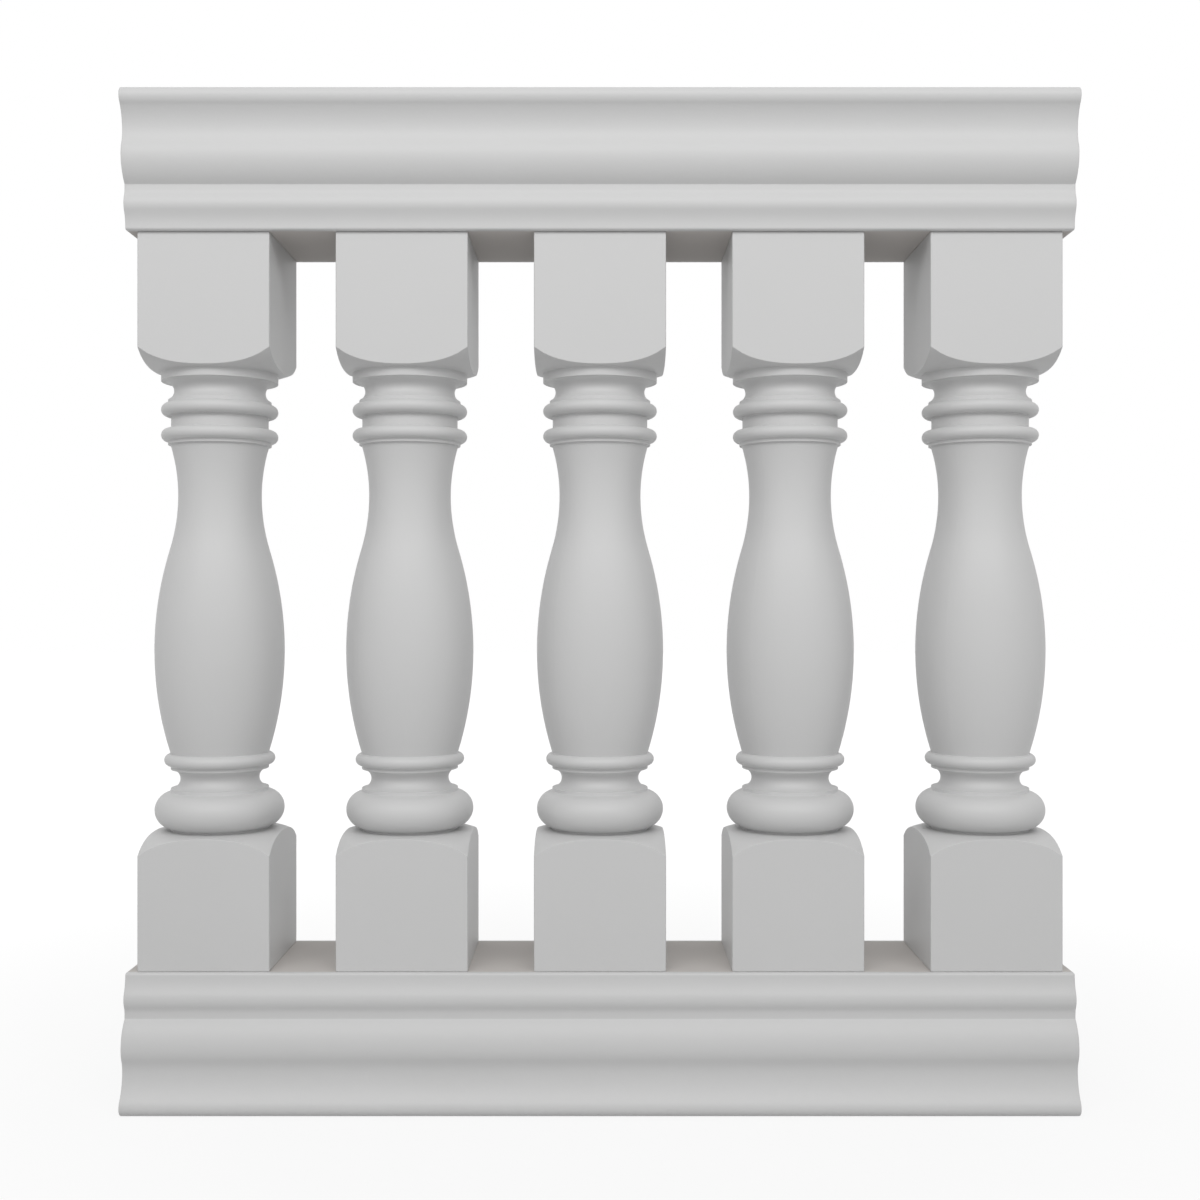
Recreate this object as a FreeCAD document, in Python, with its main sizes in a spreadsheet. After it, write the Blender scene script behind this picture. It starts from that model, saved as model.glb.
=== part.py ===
"""Deck railing section: two moulded rails, turned balusters between them, a steel core pipe through each.

The bottom rail lies on its wide side and the top rail is the same moulding turned over, so both show a
flat seat to the balusters. Each baluster is a square blank, turned between its two blocks, with a bore
from end to end. Its core pipe stands out of both blocks and seats in a blind bore in each rail.

Frame: X along the rails, Y from front to back, Z up, origin under the middle of the bottom rail.
All sizes are millimetres.
"""

import FreeCAD, Part
import Sketcher
import os

# Driving dimensions, each with the name that the drawings below use.
SIZES = {
    # Layout
    "baluster_count": 5,
    "baluster_pitch": 190.5,
    "rail_end_margin": 73.5,
    # Rail moulding, from its seat to its crown
    "rail_height": 131.8,
    "rail_width": 177.8,
    "seat_width": 132.4,
    "seat_round": 2.5,
    "bead_width": 148.6,
    "bead_level": 25.0,
    "band_share": 0.68,
    "quirk_width": 141.6,
    "quirk_rise": 13.5,
    "bead_share": 0.55,
    "quirk_height": 4.7,
    "ogee_width": 165.2,
    "ogee_height": 26.8,
    "cove_width": 155.4,
    "cove_rise": 22.0,
    "ogee_share": 0.5,
    "crown_foot_width": 170.6,
    "crown_height": 16.2,
    "crown_round": 7.8,
    # Baluster blank
    "baluster_height": 711.2,
    "block_width": 127.0,
    "block_height": 127.0,
    "arris_round": 1.2,
    "shoulder_radius": 50.8,
    "shoulder_inset": 12.7,
    "turning_margin": 2.0,
    # Capital rings, from the upper block down
    "collar_radius": 57.0,
    "collar_height": 9.9,
    "upper_throat_radius": 44.5,
    "upper_scotia_round": 9.5,
    "ring_fillet_radius": 50.4,
    "ring_fillet_height": 3.6,
    "ring_crown_radius": 57.0,
    "ring_round": 6.3,
    "neck_band_radius": 47.4,
    "neck_band_height": 12.6,
    "lip_fillet_height": 3.4,
    # Vase
    "lip_radius": 47.9,
    "neck_radius": 40.6,
    "neck_drop": 49.8,
    "belly_radius": 63.3,
    "belly_rise": 102.2,
    "vase_share": 0.652,
    # Base rings, from the lower block up
    "base_fillet_radius": 47.8,
    "foot_fillet_height": 3.6,
    "torus_crown_radius": 63.2,
    "torus_round": 18.2,
    "base_fillet_height": 3.4,
    "lower_scotia_round": 9.35,
    "bead_fillet_height": 3.6,
    "base_bead_crown": 54.0,
    "base_bead_round": 6.0,
    # Core pipe and its bores
    "pipe_diameter": 38.1,
    "pipe_wall": 3.05,
    "pipe_reach": 42.0,
    "pipe_end_gap": 3.0,
    "pipe_clearance": 0.3,
    "pipe_chamfer": 0.8,
}

PARTS_FOLDER = "parts"
SMALLEST_VOLUME = 1.0
RADIUS_TOLERANCE = 0.001
UPRIGHT = 0.999


def size(name):
    """The expression that reads one cell of the sheet."""
    return f"Sizes.{name}"


def make_sheet(doc):
    """Puts every driving dimension into an aliased cell."""
    sheet = doc.addObject("Spreadsheet::Sheet", "Sizes")
    for row, (name, value) in enumerate(SIZES.items(), start=1):
        sheet.set(f"A{row}", name)
        sheet.set(f"B{row}", str(value))
        sheet.setAlias(f"B{row}", name)
    doc.recompute()


def origin_plane(body, role):
    """One of the body's own origin planes, such as XZ_Plane."""
    return next(feature for feature in body.Origin.OriginFeatures if feature.Role == role)


def new_sketch(body, name, role):
    """An empty sketch on one of the body's origin planes."""
    sketch = body.newObject("Sketcher::SketchObject", name)
    sketch.AttachmentSupport = [(origin_plane(body, role), "")]
    sketch.MapMode = "FlatFace"
    return sketch


def bind(sketch, kind, geometry, point, expression):
    """Adds a dimension and ties it to an expression."""
    value = float(sketch.evalExpression(expression))
    index = sketch.addConstraint(Sketcher.Constraint(kind, geometry, point, value))
    sketch.setExpression(f"Constraints[{index}]", expression)


def arc_centre(start, end, axis, level):
    """The centre that is as far from start as from end, with one coordinate given."""
    middle = (start + end) / 2
    chord = end - start
    if axis == "y":
        return FreeCAD.Vector(middle.x - (level - middle.y) * chord.y / chord.x, level, 0)
    return FreeCAD.Vector(level, middle.y - (level - middle.x) * chord.x / chord.y, 0)


def short_arc(start, end, centre):
    """The shorter arc about centre between two points, and whether it runs from start to end."""
    from_centre, to_end = start - centre, end - centre
    counter_clockwise = from_centre.cross(to_end).z > 0
    first, last = (from_centre, to_end) if counter_clockwise else (to_end, from_centre)
    circle = Part.Circle(centre, FreeCAD.Vector(0, 0, 1), from_centre.Length)
    arc = Part.ArcOfCircle(circle, circle.parameter(centre + first), circle.parameter(centre + last))
    return arc, counter_clockwise


def draw_outline(sketch, corners):
    """Draws a closed outline whose corners, and arc centres, are all tied to the sheet.

    Each corner is (x, y, bend): two expressions, and None where a straight edge leads to the next
    corner, or the axis and the expression that place the centre of an arc.
    """
    points = [
        FreeCAD.Vector(float(sketch.evalExpression(x)), float(sketch.evalExpression(y)), 0)
        for x, y, _ in corners
    ]
    edges = []
    for i, (_, _, bend) in enumerate(corners):
        start, end = points[i], points[(i + 1) % len(points)]
        if bend is None:
            edges.append((sketch.addGeometry(Part.LineSegment(start, end), False), 1, 2))
            continue
        axis, expression = bend
        centre = arc_centre(start, end, axis, float(sketch.evalExpression(expression)))
        arc, forwards = short_arc(start, end, centre)
        edges.append((sketch.addGeometry(arc, False), *((1, 2) if forwards else (2, 1))))
    for i, (edge, first, last) in enumerate(edges):
        following, following_first, _ = edges[(i + 1) % len(edges)]
        sketch.addConstraint(Sketcher.Constraint("Coincident", edge, last, following, following_first))
    for (edge, first, _), (x, y, bend) in zip(edges, corners):
        bind(sketch, "DistanceX", edge, first, x)
        bind(sketch, "DistanceY", edge, first, y)
        if bend is not None:
            axis, expression = bend
            bind(sketch, "DistanceX" if axis == "x" else "DistanceY", edge, 3, expression)


def draw_circle(sketch, x, diameter):
    """A circle on the sketch's horizontal axis."""
    radius = float(sketch.evalExpression(diameter)) / 2
    centre = FreeCAD.Vector(float(sketch.evalExpression(x)), 0, 0)
    circle = sketch.addGeometry(Part.Circle(centre, FreeCAD.Vector(0, 0, 1), radius), False)
    bind(sketch, "DistanceX", circle, 3, x)
    sketch.addConstraint(Sketcher.Constraint("PointOnObject", circle, 3, -1))
    index = sketch.addConstraint(Sketcher.Constraint("Diameter", circle, 2 * radius))
    sketch.setExpression(f"Constraints[{index}]", diameter)


def cut_is_real(doc, feature, before):
    """A cut that points away from the solid removes nothing, so the volumes are compared."""
    doc.recompute()
    if feature.Shape.Volume > before - SMALLEST_VOLUME:
        raise RuntimeError(f"{feature.Label} removed nothing")


def turning_point(start, end, share):
    """Where a hollow turns into a round: on the line between the points where each stands upright."""
    (x0, y0), (x1, y1) = start, end
    return f"({x0}) + (({x1}) - ({x0})) * {share}", f"({y0}) + (({y1}) - ({y0})) * {share}"


# Rails

def rail_outline():
    """Half of the moulding's section: seat, hollow band, bead, quirk, ogee, cove and rounded crown."""
    seat = f"{size('seat_width')} / 2"
    band = f"{seat} + {size('seat_round')}"
    bead = f"{size('bead_width')} / 2"
    quirk = f"{size('quirk_width')} / 2"
    ogee = f"{size('ogee_width')} / 2"
    cove = f"{size('cove_width')} / 2"
    crown_foot = f"{size('crown_foot_width')} / 2"
    crown = f"{size('rail_width')} / 2"
    crown_end = f"{crown} - {size('crown_round')}"

    # Levels above the seat
    band_level = size("seat_round")
    bead_level = size("bead_level")
    quirk_level = f"{bead_level} + {size('quirk_rise')}"
    ogee_foot_level = f"{quirk_level} + {size('quirk_height')}"
    ogee_level = f"{ogee_foot_level} + {size('ogee_height')}"
    cove_level = f"{ogee_level} + {size('cove_rise')}"
    top = size("rail_height")
    crown_foot_level = f"{top} - {size('crown_height')}"
    crown_level = f"{top} - {size('crown_round')}"

    band_end = turning_point((band, band_level), (bead, bead_level), size("band_share"))
    bead_end = turning_point((bead, bead_level), (quirk, quirk_level), size("bead_share"))
    ogee_end = turning_point((ogee, ogee_level), (cove, cove_level), size("ogee_share"))
    return [
        (seat, "0", ("y", band_level)),
        (band, band_level, ("y", band_level)),
        (*band_end, ("y", bead_level)),
        (bead, bead_level, ("y", bead_level)),
        (*bead_end, ("y", quirk_level)),
        (quirk, quirk_level, None),
        (quirk, ogee_foot_level, ("y", ogee_level)),
        (ogee, ogee_level, ("y", ogee_level)),
        (*ogee_end, ("y", cove_level)),
        (cove, cove_level, ("y", cove_level)),
        (crown_foot, crown_foot_level, ("y", crown_level)),
        (crown, crown_level, ("y", crown_level)),
        (crown_end, top, None),
    ]


def mirrored(front):
    """The whole section from one half: the same corners come back on the other side in reverse."""
    back = [
        (f"-({x})", y, front[i - 1][2] if i else None)
        for i, (x, y, _) in reversed(list(enumerate(front)))
    ]
    return front + back


def make_rail(doc, label, bore_depth):
    """One rail with its seat on the XY plane and a blind bore for each core pipe."""
    body = doc.addObject("PartDesign::Body", label)
    body.Label = label
    section = new_sketch(body, f"{label}_section", "YZ_Plane")
    draw_outline(section, mirrored(rail_outline()))
    moulding = body.newObject("PartDesign::Pad", f"{label}_moulding")
    moulding.Profile = section
    moulding.SideType = "Symmetric"
    moulding.setExpression(
        "Length",
        f"({size('baluster_count')} - 1) * {size('baluster_pitch')} + 2 * {size('rail_end_margin')}",
    )
    doc.recompute()

    mouth = new_sketch(body, f"{label}_bore_mouth", "XY_Plane")
    first = f"-({size('baluster_count')} - 1) / 2 * {size('baluster_pitch')}"
    draw_circle(mouth, first, f"{size('pipe_diameter')} + 2 * {size('pipe_clearance')}")
    bore = body.newObject("PartDesign::Pocket", f"{label}_bore")
    bore.Profile = mouth
    bore.Reversed = True
    bore.setExpression("Length", bore_depth)
    cut_is_real(doc, bore, moulding.Shape.Volume)

    bores = body.newObject("PartDesign::LinearPattern", f"{label}_bores")
    bores.Originals = [bore]
    bores.Direction = (mouth, ["H_Axis"])
    bores.setExpression("Length", f"({size('baluster_count')} - 1) * {size('baluster_pitch')}")
    bores.setExpression("Occurrences", size("baluster_count"))
    body.Tip = bores
    cut_is_real(doc, bores, bore.Shape.Volume)
    return body


def make_rails(doc):
    """The bottom rail is turned over so that its seat faces up; the top rail lies on the balusters."""
    bottom = make_rail(doc, "bottom_rail", size("pipe_reach"))
    bottom.Placement = FreeCAD.Placement(
        FreeCAD.Vector(0, 0, 0), FreeCAD.Rotation(FreeCAD.Vector(1, 0, 0), 180)
    )
    bottom.setExpression("Placement.Base.z", size("rail_height"))
    top = make_rail(doc, "top_rail", f"{size('pipe_reach')} + {size('pipe_end_gap')}")
    top.setExpression("Placement.Base.z", f"{size('rail_height')} + {size('baluster_height')}")
    return [bottom, top]


# Balusters

def shoulder_level(line, radius, sign):
    """Height of a turned shoulder at a radius: an arc that crosses the block's face at its line."""
    arc = size("shoulder_radius")
    reach = f"({radius} - {size('block_width')} / 2 + {size('shoulder_inset')})"
    rise = f"(sqrt({arc}^2 - {size('shoulder_inset')}^2) - sqrt({arc}^2 - {reach}^2))"
    return f"{line} {sign} {rise}"


def half_chord(arc, centre, radius):
    """Half the height of a round or a hollow about that centre, where it meets another radius."""
    return f"sqrt({size(arc)}^2 - ({radius} - ({centre}))^2)"


def turned_outline():
    """What the lathe takes off the square blank, read from the upper shoulder down to the lower one."""
    height, block = size("baluster_height"), size("block_height")
    outside = f"({size('block_width')} * sqrt(2) / 2 + {size('turning_margin')})"
    shoulder_centre = f"{size('block_width')} / 2 - {size('shoulder_inset')}"
    upper_line, lower_line = f"{height} - {block}", block

    # Radii of the capital
    collar, throat = size("collar_radius"), size("upper_throat_radius")
    scotia_mouth = f"{throat} + {size('upper_scotia_round')}"
    ring_crown, ring_fillet = size("ring_crown_radius"), size("ring_fillet_radius")
    ring_centre = f"{ring_crown} - {size('ring_round')}"
    neck_band = size("neck_band_radius")

    # Levels of the capital, each measured down from the one above
    collar_edge = f"{upper_line} - {size('collar_height')}"
    upper_scotia = f"{collar_edge} - {size('upper_scotia_round')}"
    scotia_foot = f"{upper_scotia} - {half_chord('upper_scotia_round', scotia_mouth, ring_fillet)}"
    ring_top = f"{scotia_foot} - {size('ring_fillet_height')}"
    ring_half = half_chord("ring_round", ring_centre, ring_fillet)
    upper_ring = f"{ring_top} - {ring_half}"
    band_top = f"{upper_ring} - {size('ring_round')}"
    band_foot = f"{band_top} - {size('neck_band_height')}"
    lower_ring = f"{band_foot} - {size('ring_round')}"
    lip_top = f"{lower_ring} - {ring_half}"
    lip = f"{lip_top} - {size('lip_fillet_height')}"
    neck = f"{lip} - {size('neck_drop')}"

    # Radii of the base
    base_fillet = size("base_fillet_radius")
    torus_crown, bead_crown = size("torus_crown_radius"), size("base_bead_crown")
    lower_throat = f"{base_fillet} - {size('lower_scotia_round')}"

    # Levels of the base, each measured up from the one below
    torus_half = half_chord("torus_round", f"{torus_crown} - {size('torus_round')}", base_fillet)
    bead_half = half_chord("base_bead_round", f"{bead_crown} - {size('base_bead_round')}", base_fillet)
    torus_foot = f"{lower_line} + {size('foot_fillet_height')}"
    torus = f"{torus_foot} + {torus_half}"
    torus_top = f"{torus} + {torus_half}"
    cove_foot = f"{torus_top} + {size('base_fillet_height')}"
    lower_scotia = f"{cove_foot} + {size('lower_scotia_round')}"
    cove_top = f"{lower_scotia} + {size('lower_scotia_round')}"
    bead_foot = f"{cove_top} + {size('bead_fillet_height')}"
    bead = f"{bead_foot} + {bead_half}"
    vase_foot = f"{bead} + {bead_half}"
    belly = f"{vase_foot} + {size('belly_rise')}"

    vase_belly, vase_neck = (size("belly_radius"), belly), (size("neck_radius"), neck)
    vase_turn = turning_point(vase_belly, vase_neck, size("vase_share"))
    return [
        (outside, shoulder_level(upper_line, outside, "+"), ("x", shoulder_centre)),
        (collar, shoulder_level(upper_line, collar, "+"), None),
        (collar, collar_edge, None),
        (scotia_mouth, collar_edge, ("y", upper_scotia)),
        (throat, upper_scotia, ("y", upper_scotia)),
        (ring_fillet, scotia_foot, None),
        (ring_fillet, ring_top, ("y", upper_ring)),
        (ring_crown, upper_ring, ("y", upper_ring)),
        (ring_centre, band_top, None),
        (neck_band, band_top, None),
        (neck_band, band_foot, None),
        (ring_centre, band_foot, ("y", lower_ring)),
        (ring_crown, lower_ring, ("y", lower_ring)),
        (ring_fillet, lip_top, None),
        (ring_fillet, lip, None),
        (size("lip_radius"), lip, ("y", neck)),
        (*vase_neck, ("y", neck)),
        (*vase_turn, ("y", belly)),
        (*vase_belly, ("y", belly)),
        (base_fillet, vase_foot, ("y", bead)),
        (bead_crown, bead, ("y", bead)),
        (base_fillet, bead_foot, None),
        (base_fillet, cove_top, ("y", lower_scotia)),
        (lower_throat, lower_scotia, ("y", lower_scotia)),
        (base_fillet, cove_foot, None),
        (base_fillet, torus_top, ("y", torus)),
        (torus_crown, torus, ("y", torus)),
        (base_fillet, torus_foot, None),
        (base_fillet, shoulder_level(lower_line, base_fillet, "-"), ("x", shoulder_centre)),
        (outside, shoulder_level(lower_line, outside, "-"), None),
    ]


def upright_edges(shape):
    """Names of the straight edges that run along Z."""
    names = []
    for index, edge in enumerate(shape.Edges, start=1):
        run = edge.Vertexes[-1].Point - edge.Vertexes[0].Point
        if abs(run.z) > run.Length * UPRIGHT:
            names.append(f"Edge{index}")
    return names


def make_baluster(doc, index):
    """One baluster, standing on the XY plane: square blank, eased arrises, turning and core bore."""
    label = f"baluster_{index + 1}"
    body = doc.addObject("PartDesign::Body", label)
    body.Label = label
    half = f"{size('block_width')} / 2"
    square = new_sketch(body, f"{label}_square", "XY_Plane")
    draw_outline(square, [
        (half, half, None),
        (f"-{half}", half, None),
        (f"-{half}", f"-{half}", None),
        (half, f"-{half}", None),
    ])
    blank = body.newObject("PartDesign::Pad", f"{label}_blank")
    blank.Profile = square
    blank.setExpression("Length", size("baluster_height"))
    doc.recompute()

    arrises = body.newObject("PartDesign::Fillet", f"{label}_arrises")
    arrises.Base = (blank, upright_edges(blank.Shape))
    arrises.setExpression("Radius", size("arris_round"))
    doc.recompute()

    profile = new_sketch(body, f"{label}_profile", "XZ_Plane")
    draw_outline(profile, turned_outline())
    turning = body.newObject("PartDesign::Groove", f"{label}_turning")
    turning.Profile = profile
    turning.ReferenceAxis = (profile, ["V_Axis"])
    turning.Angle = 360
    cut_is_real(doc, turning, arrises.Shape.Volume)

    mouth = new_sketch(body, f"{label}_bore_mouth", "XY_Plane")
    draw_circle(mouth, "0", f"{size('pipe_diameter')} + 2 * {size('pipe_clearance')}")
    bore = body.newObject("PartDesign::Pocket", f"{label}_bore")
    bore.Profile = mouth
    bore.Type = "ThroughAll"
    bore.Reversed = True
    cut_is_real(doc, bore, turning.Shape.Volume)
    stand_on_axis(body, index, size("rail_height"))
    return body


def stand_on_axis(body, index, level):
    """Places a piece on the axis of one baluster, at a height."""
    middle = f"({size('baluster_count')} - 1) / 2"
    body.setExpression("Placement.Base.x", f"({index} - {middle}) * {size('baluster_pitch')}")
    body.setExpression("Placement.Base.z", level)


# Core pipes

def make_core_pipe(doc, index):
    """The steel pipe through one baluster: it stands on the floor of the bottom rail's bore."""
    label = f"core_pipe_{index + 1}"
    body = doc.addObject("PartDesign::Body", label)
    body.Label = label
    section = new_sketch(body, f"{label}_section", "XY_Plane")
    draw_circle(section, "0", size("pipe_diameter"))
    draw_circle(section, "0", f"{size('pipe_diameter')} - 2 * {size('pipe_wall')}")
    tube = body.newObject("PartDesign::Pad", f"{label}_tube")
    tube.Profile = section
    tube.setExpression("Length", f"{size('baluster_height')} + 2 * {size('pipe_reach')}")
    doc.recompute()

    circles = {
        f"Edge{number}": edge.Curve.Radius
        for number, edge in enumerate(tube.Shape.Edges, start=1)
        if edge.Curve.TypeId == "Part::GeomCircle"
    }
    inner = min(circles.values())
    rims = [name for name, radius in circles.items() if radius - inner > RADIUS_TOLERANCE]
    deburred = body.newObject("PartDesign::Chamfer", f"{label}_deburred")
    deburred.Base = (tube, rims)
    deburred.setExpression("Size", size("pipe_chamfer"))
    doc.recompute()
    stand_on_axis(body, index, f"{size('rail_height')} - {size('pipe_reach')}")
    return body


# Document

def check(doc, pieces):
    """Stops if any feature failed or any piece has no sound solid."""
    failed = [item.Label for item in doc.Objects if {"Invalid", "Error"} & set(item.State)]
    if failed:
        raise RuntimeError(f"these features failed: {failed}")
    for piece in pieces:
        shape = piece.Shape
        if shape.isNull() or not shape.isValid() or len(shape.Solids) != 1:
            raise RuntimeError(f"{piece.Label} is not one sound solid")


def main():
    doc = FreeCAD.newDocument("railing_section")
    make_sheet(doc)
    pieces = make_rails(doc)
    for index in range(int(SIZES["baluster_count"])):
        pieces.append(make_baluster(doc, index))
        pieces.append(make_core_pipe(doc, index))
    doc.recompute()
    check(doc, pieces)

    os.makedirs(PARTS_FOLDER, exist_ok=True)
    for piece in pieces:
        piece.Shape.exportStep(os.path.join(PARTS_FOLDER, f"{piece.Label}.step"))
        box = piece.Shape.optimalBoundingBox()
        print(
            f"{piece.Label}: {box.XLength:.2f} x {box.YLength:.2f} x {box.ZLength:.2f} mm,"
            f" z {box.ZMin:.2f} to {box.ZMax:.2f}, {piece.Shape.Volume / 1000:.1f} cm3"
        )


main()
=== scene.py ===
# %% [markdown]
# # A moulded deck railing
#
# This lesson dresses a railing section that is already modelled as solids: two moulded rails, turned
# balusters between them, and a steel pipe through the core of each baluster. The solids arrive as a fixed
# frame, and every new surface is worked out in that frame, so nothing has to be fitted afterwards.

import bmesh
import bpy
import numpy as np
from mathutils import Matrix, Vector


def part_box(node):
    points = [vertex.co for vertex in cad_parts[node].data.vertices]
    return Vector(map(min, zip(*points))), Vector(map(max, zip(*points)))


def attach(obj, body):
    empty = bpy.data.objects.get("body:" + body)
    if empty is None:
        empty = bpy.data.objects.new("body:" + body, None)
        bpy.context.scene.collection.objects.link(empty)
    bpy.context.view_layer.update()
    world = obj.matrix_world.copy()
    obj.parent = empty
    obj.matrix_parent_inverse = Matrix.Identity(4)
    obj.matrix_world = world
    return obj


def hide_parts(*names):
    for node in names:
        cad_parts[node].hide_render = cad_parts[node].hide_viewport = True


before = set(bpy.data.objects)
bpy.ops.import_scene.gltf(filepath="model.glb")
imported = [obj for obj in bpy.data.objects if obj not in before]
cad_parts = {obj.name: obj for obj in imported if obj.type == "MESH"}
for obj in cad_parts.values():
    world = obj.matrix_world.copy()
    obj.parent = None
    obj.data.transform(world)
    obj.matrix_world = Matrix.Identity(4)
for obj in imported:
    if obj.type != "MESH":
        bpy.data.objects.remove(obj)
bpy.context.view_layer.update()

# %% [markdown]
# ## Sizes that come from the frame
#
# The overall sizes are read from the solids. Profiles are easier to read in millimetres, so the shapes
# are worked out in millimetres and turned into metres once, when a mesh is made.

# %% Read the overall sizes
MM = 0.001

BALUSTERS = sorted(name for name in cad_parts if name.startswith("baluster_"))
PIPES = sorted(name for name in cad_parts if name.startswith("core_pipe_"))


def box_mm(node):
    """A node's lowest and highest corners in millimetres."""
    return np.array(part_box(node)) / MM


RAIL_LENGTH, RAIL_WIDTH, RAIL_HEIGHT = np.ptp(box_mm("top_rail"), axis=0)
baluster_low, baluster_high = box_mm(BALUSTERS[0])
BLOCK_WIDTH = baluster_high[0] - baluster_low[0]
BALUSTER_HEIGHT = baluster_high[2] - baluster_low[2]
AXES = np.array([box_mm(name).mean(axis=0)[0] for name in BALUSTERS])
PIPE_RADIUS = np.ptp(box_mm(PIPES[0])[:, 0]) / 2
PIPE_CLEARANCE = 0.3
BORE_RADIUS = PIPE_RADIUS + PIPE_CLEARANCE
print("rail", np.round([RAIL_LENGTH, RAIL_WIDTH, RAIL_HEIGHT], 1), "baluster", round(BALUSTER_HEIGHT, 1))

# %% [markdown]
# ## Drawing a moulding as a path
#
# A moulder draws a profile with a ruler and a compass: straight fillets, and arcs that start and end on
# them. Two small functions do the same here. An arc is given by its ends and one coordinate of its
# centre, because the centre is as far from one end as from the other and that fixes the rest.

# %% Ruler and compass
ARC_STEPS = 40


def centre_at(start, end, x=None, y=None):
    """The point as far from start as from end that has the given x or y: it is on the chord's bisector."""
    start, end = np.array(start, float), np.array(end, float)
    middle, chord = (start + end) / 2, end - start
    if x is None:
        return np.array([middle[0] - (y - middle[1]) * chord[1] / chord[0], y])
    return np.array([x, middle[1] - (x - middle[0]) * chord[0] / chord[1]])


def arc(start, end, x=None, y=None):
    """The shorter arc between two points: the angle about its centre changes evenly along it."""
    centre = centre_at(start, end, x, y)
    spoke = np.array([start, end], float) - centre
    first, last = np.arctan2(spoke[:, 1], spoke[:, 0])
    turn = (last - first + np.pi) % (2 * np.pi) - np.pi
    angle = first + turn * np.linspace(0, 1, ARC_STEPS)
    return centre + np.hypot(*spoke[0]) * np.stack([np.cos(angle), np.sin(angle)], axis=-1)


def straight(*points):
    """The corners of a run of straight edges."""
    return np.array(points, float)


print("quarter circle ends at", arc((1, 0), (0, 1), x=0)[-1])

# %% [markdown]
# ## Easing the corners
#
# No moulded corner is perfectly sharp: paint and the mould round it by a millimetre or so, and that small
# round is what catches the light. A Bevel modifier could do it edge by edge. Walking the path in even steps
# and averaging each point with its neighbours rounds every corner at once and leaves the large curves where
# they are. After that, stations are kept closely where the path bends and sparsely where it runs straight.

# %% Even out and thin a path
GRAIN, SAME_POINT = 0.1, 0.001
EASE = 0.8
LONGEST_STEP, TURN_STEP = 9.0, np.radians(7.5)


def sampled(path, along, places):
    """Points of the path at some places, measured as its own points are: straight between neighbours."""
    return np.stack([np.interp(places, along, path[:, k]) for k in (0, 1)], axis=-1)


def even_steps(path):
    """The path again as points at equal distances along it, with repeated points left out first."""
    leg = np.hypot(*np.diff(path, axis=0).T)
    path = path[np.concatenate([[True], leg > SAME_POINT])]
    along = np.concatenate([[0], np.cumsum(np.hypot(*np.diff(path, axis=0).T))])
    return sampled(path, along, np.linspace(0, along[-1], int(along[-1] / GRAIN) + 1))


def averaged(path):
    """Each point replaced by the bell-weighted mean of its neighbours within the ease; the two ends stay."""
    half = int(EASE / GRAIN)
    bell = np.hanning(2 * half + 3)[1:-1]
    padded = np.pad(path, ((half, half), (0, 0)), mode="reflect", reflect_type="odd")
    return np.stack([np.convolve(padded[:, k], bell / bell.sum(), "valid") for k in (0, 1)], axis=-1)


def stations(path):
    """One point for each long step of length and each step of turning, spread evenly over their sum."""
    leg = np.diff(path, axis=0)
    heading = np.unwrap(np.arctan2(leg[:, 1], leg[:, 0]))
    bend = np.abs(np.diff(heading, prepend=heading[0]))
    need = np.concatenate([[0], np.cumsum(np.hypot(*leg.T) / LONGEST_STEP + bend / TURN_STEP)])
    return sampled(path, need, np.linspace(0, need[-1], int(np.ceil(need[-1])) + 1))


def eased(*strokes):
    """Strokes joined end to end, their corners rounded, kept as few points."""
    return stations(averaged(even_steps(np.concatenate(strokes))))


print("an eased square corner keeps", len(eased(straight((0, 0), (20, 0), (20, 20)))), "points")

# %% [markdown]
# ## From grids to meshes
#
# A surface is a grid of points: row by row along one parameter, column by column along the other. The
# quads between neighbours are found with array arithmetic. Flat stretches are shaded flat and curved ones
# smooth, so a large flat face never picks up the normals of its rounded edge.

# %% Grid helpers


def quads(rows, columns, close_rows=False, close_columns=False):
    """Corner numbers of the quads between neighbours of a grid, wrapping round where it closes."""
    i, j = np.meshgrid(
        np.arange(rows if close_rows else rows - 1),
        np.arange(columns if close_columns else columns - 1),
        indexing="ij",
    )
    below, beside = (i + 1) % rows, (j + 1) % columns
    corners = [i * columns + j, below * columns + j, below * columns + beside, i * columns + beside]
    return np.stack(corners, axis=-1)


def new_piece(name, points, faces, smooth):
    """A mesh object at the origin from points in millimetres, faces of any size and their shading."""
    mesh = bpy.data.meshes.new(name)
    mesh.from_pydata((points * MM).tolist(), [], faces)
    mesh.polygons.foreach_set("use_smooth", np.asarray(smooth, bool))
    mesh.validate()
    mesh.update()
    piece = bpy.data.objects.new(name, mesh)
    bpy.context.scene.collection.objects.link(piece)
    return piece


print("a 3 by 4 grid has", quads(3, 4)[..., 0].size, "quads")

# %% [markdown]
# ## The turned profile
#
# A baluster starts as a square blank. Between its two blocks it is turned, so that stretch is one profile
# carried round the axis. Read from the upper block down: a shoulder, a collar, a hollow called a scotia,
# two rings with a band between them, the vase with its neck and belly, a bead, a second scotia and a large
# torus on the lower block. Narrow upright fillets part the rounds from the hollows. A Screw modifier could
# spin a drawn curve, but here the same rows run on into the square blocks, so they are worked out as arrays.

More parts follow.
